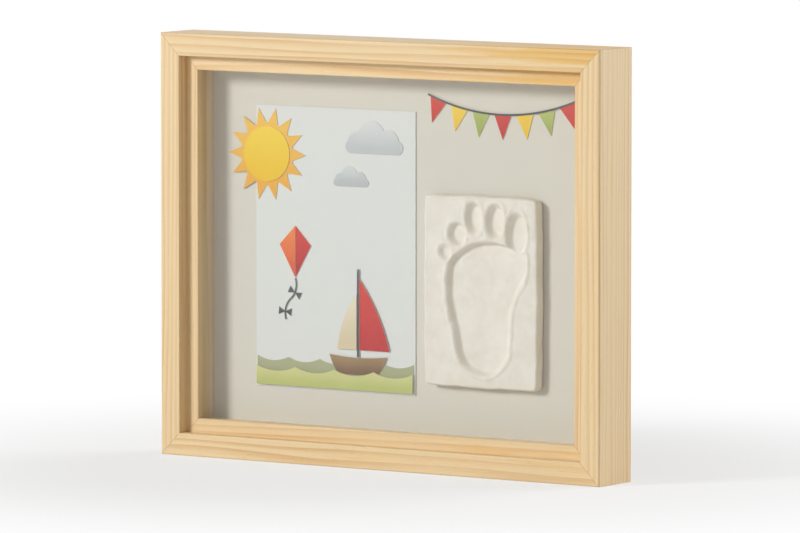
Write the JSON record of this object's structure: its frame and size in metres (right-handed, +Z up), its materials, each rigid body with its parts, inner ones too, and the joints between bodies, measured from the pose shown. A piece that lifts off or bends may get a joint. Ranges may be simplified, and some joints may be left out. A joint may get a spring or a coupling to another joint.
{
  "type": "shadow box picture frame",
  "caption": "Deep wooden shadow box frame with glass, a photo card and a pressed clay footprint inside, closed by a back panel with turn buttons and a hanging ring.",
  "frame": {"origin": "under the bottom rail, half way along it and half way through the frame's depth", "axes": "+X to the right seen from the front, -Y out of the front, +Z up"},
  "size_m": [0.275, 0.0336, 0.223],
  "materials": {
    "pine": "clear matt varnish over pale pine",
    "spacer_wood": "bare planed softwood",
    "glass": "clear picture glass",
    "mat_card": "warm grey uncoated card",
    "photo_card": "pale uncoated card",
    "clay": "unglazed air dried clay",
    "foam": "closed cell foam with adhesive",
    "tape": "double sided tissue tape",
    "mdf": "thin fibreboard, smooth",
    "zinc_steel": "bright zinc plated",
    "nail_steel": "bare rolled strip",
    "paper_yellow": "uncoated coloured paper",
    "paper_gold": "uncoated coloured paper",
    "paper_white": "uncoated coloured paper",
    "paper_orange": "uncoated coloured paper",
    "paper_red": "uncoated coloured paper",
    "paper_dark": "uncoated coloured paper",
    "paper_green": "uncoated coloured paper",
    "paper_sage": "uncoated coloured paper",
    "paper_brown": "uncoated coloured paper",
    "paper_cream": "uncoated coloured paper"
  },
  "bodies": {
    "frame": {"rail_top": "pine", "rail_bottom": "pine", "rail_left": "pine", "rail_right": "pine", "corner_nails": "nail_steel", "glass_pane": "glass", "spacer_top": "spacer_wood", "spacer_bottom": "spacer_wood", "spacer_left": "spacer_wood", "spacer_right": "spacer_wood", "mat_board": "mat_card", "card_tapes": "tape", "photo_card": "photo_card", "slab_pads": "foam", "clay_slab": "clay", "cutout_sun_rays": "paper_gold", "cutout_sun_disc": "paper_yellow", "cutout_cloud_large": "paper_white", "cutout_cloud_small": "paper_white", "cutout_kite_left": "paper_orange", "cutout_kite_right": "paper_red", "cutout_kite_tail": "paper_dark", "cutout_wave_far": "paper_sage", "cutout_wave_near": "paper_green", "cutout_boat_hull": "paper_brown", "cutout_boat_mast": "paper_dark", "cutout_sail_main": "paper_red", "cutout_sail_fore": "paper_cream", "cutout_flags_red": "paper_red", "cutout_flags_yellow": "paper_yellow", "cutout_flags_green": "paper_green", "cutout_bunting_cord": "paper_dark", "back_panel": "mdf", "turn_button_screws": "zinc_steel", "hanger_strap": "zinc_steel", "hanger_eyelet": "zinc_steel"},
    "turn_button_top_left": {"turn_button_top_left": "zinc_steel"},
    "turn_button_top_right": {"turn_button_top_right": "zinc_steel"},
    "turn_button_bottom_left": {"turn_button_bottom_left": "zinc_steel"},
    "turn_button_bottom_right": {"turn_button_bottom_right": "zinc_steel"},
    "turn_button_left": {"turn_button_left": "zinc_steel"},
    "turn_button_right": {"turn_button_right": "zinc_steel"},
    "hanger_ring": {"hanger_ring": "zinc_steel"}
  },
  "joints": [
    {"name": "turn_button_top_left_turn", "type": "hinge", "parent": "frame", "child": "turn_button_top_left", "pos_m": [-0.0715, 0.015, 0.217], "axis": [0, 1, 0], "continuous": true},
    {"name": "turn_button_top_right_turn", "type": "hinge", "parent": "frame", "child": "turn_button_top_right", "pos_m": [0.0715, 0.015, 0.217], "axis": [0, 1, 0], "continuous": true},
    {"name": "turn_button_bottom_left_turn", "type": "hinge", "parent": "frame", "child": "turn_button_bottom_left", "pos_m": [-0.0715, 0.015, 0.006], "axis": [0, 1, 0], "continuous": true},
    {"name": "turn_button_bottom_right_turn", "type": "hinge", "parent": "frame", "child": "turn_button_bottom_right", "pos_m": [0.0715, 0.015, 0.006], "axis": [0, 1, 0], "continuous": true},
    {"name": "turn_button_left_turn", "type": "hinge", "parent": "frame", "child": "turn_button_left", "pos_m": [-0.1315, 0.015, 0.1115], "axis": [0, 1, 0], "continuous": true},
    {"name": "turn_button_right_turn", "type": "hinge", "parent": "frame", "child": "turn_button_right", "pos_m": [0.1315, 0.015, 0.1115], "axis": [0, 1, 0], "continuous": true},
    {"name": "hanger_ring_swing", "type": "hinge", "parent": "frame", "child": "hanger_ring", "pos_m": [0, 0.01678, 0.187], "axis": [1, 0, 0], "range_deg": [0, 180]}
  ]
}
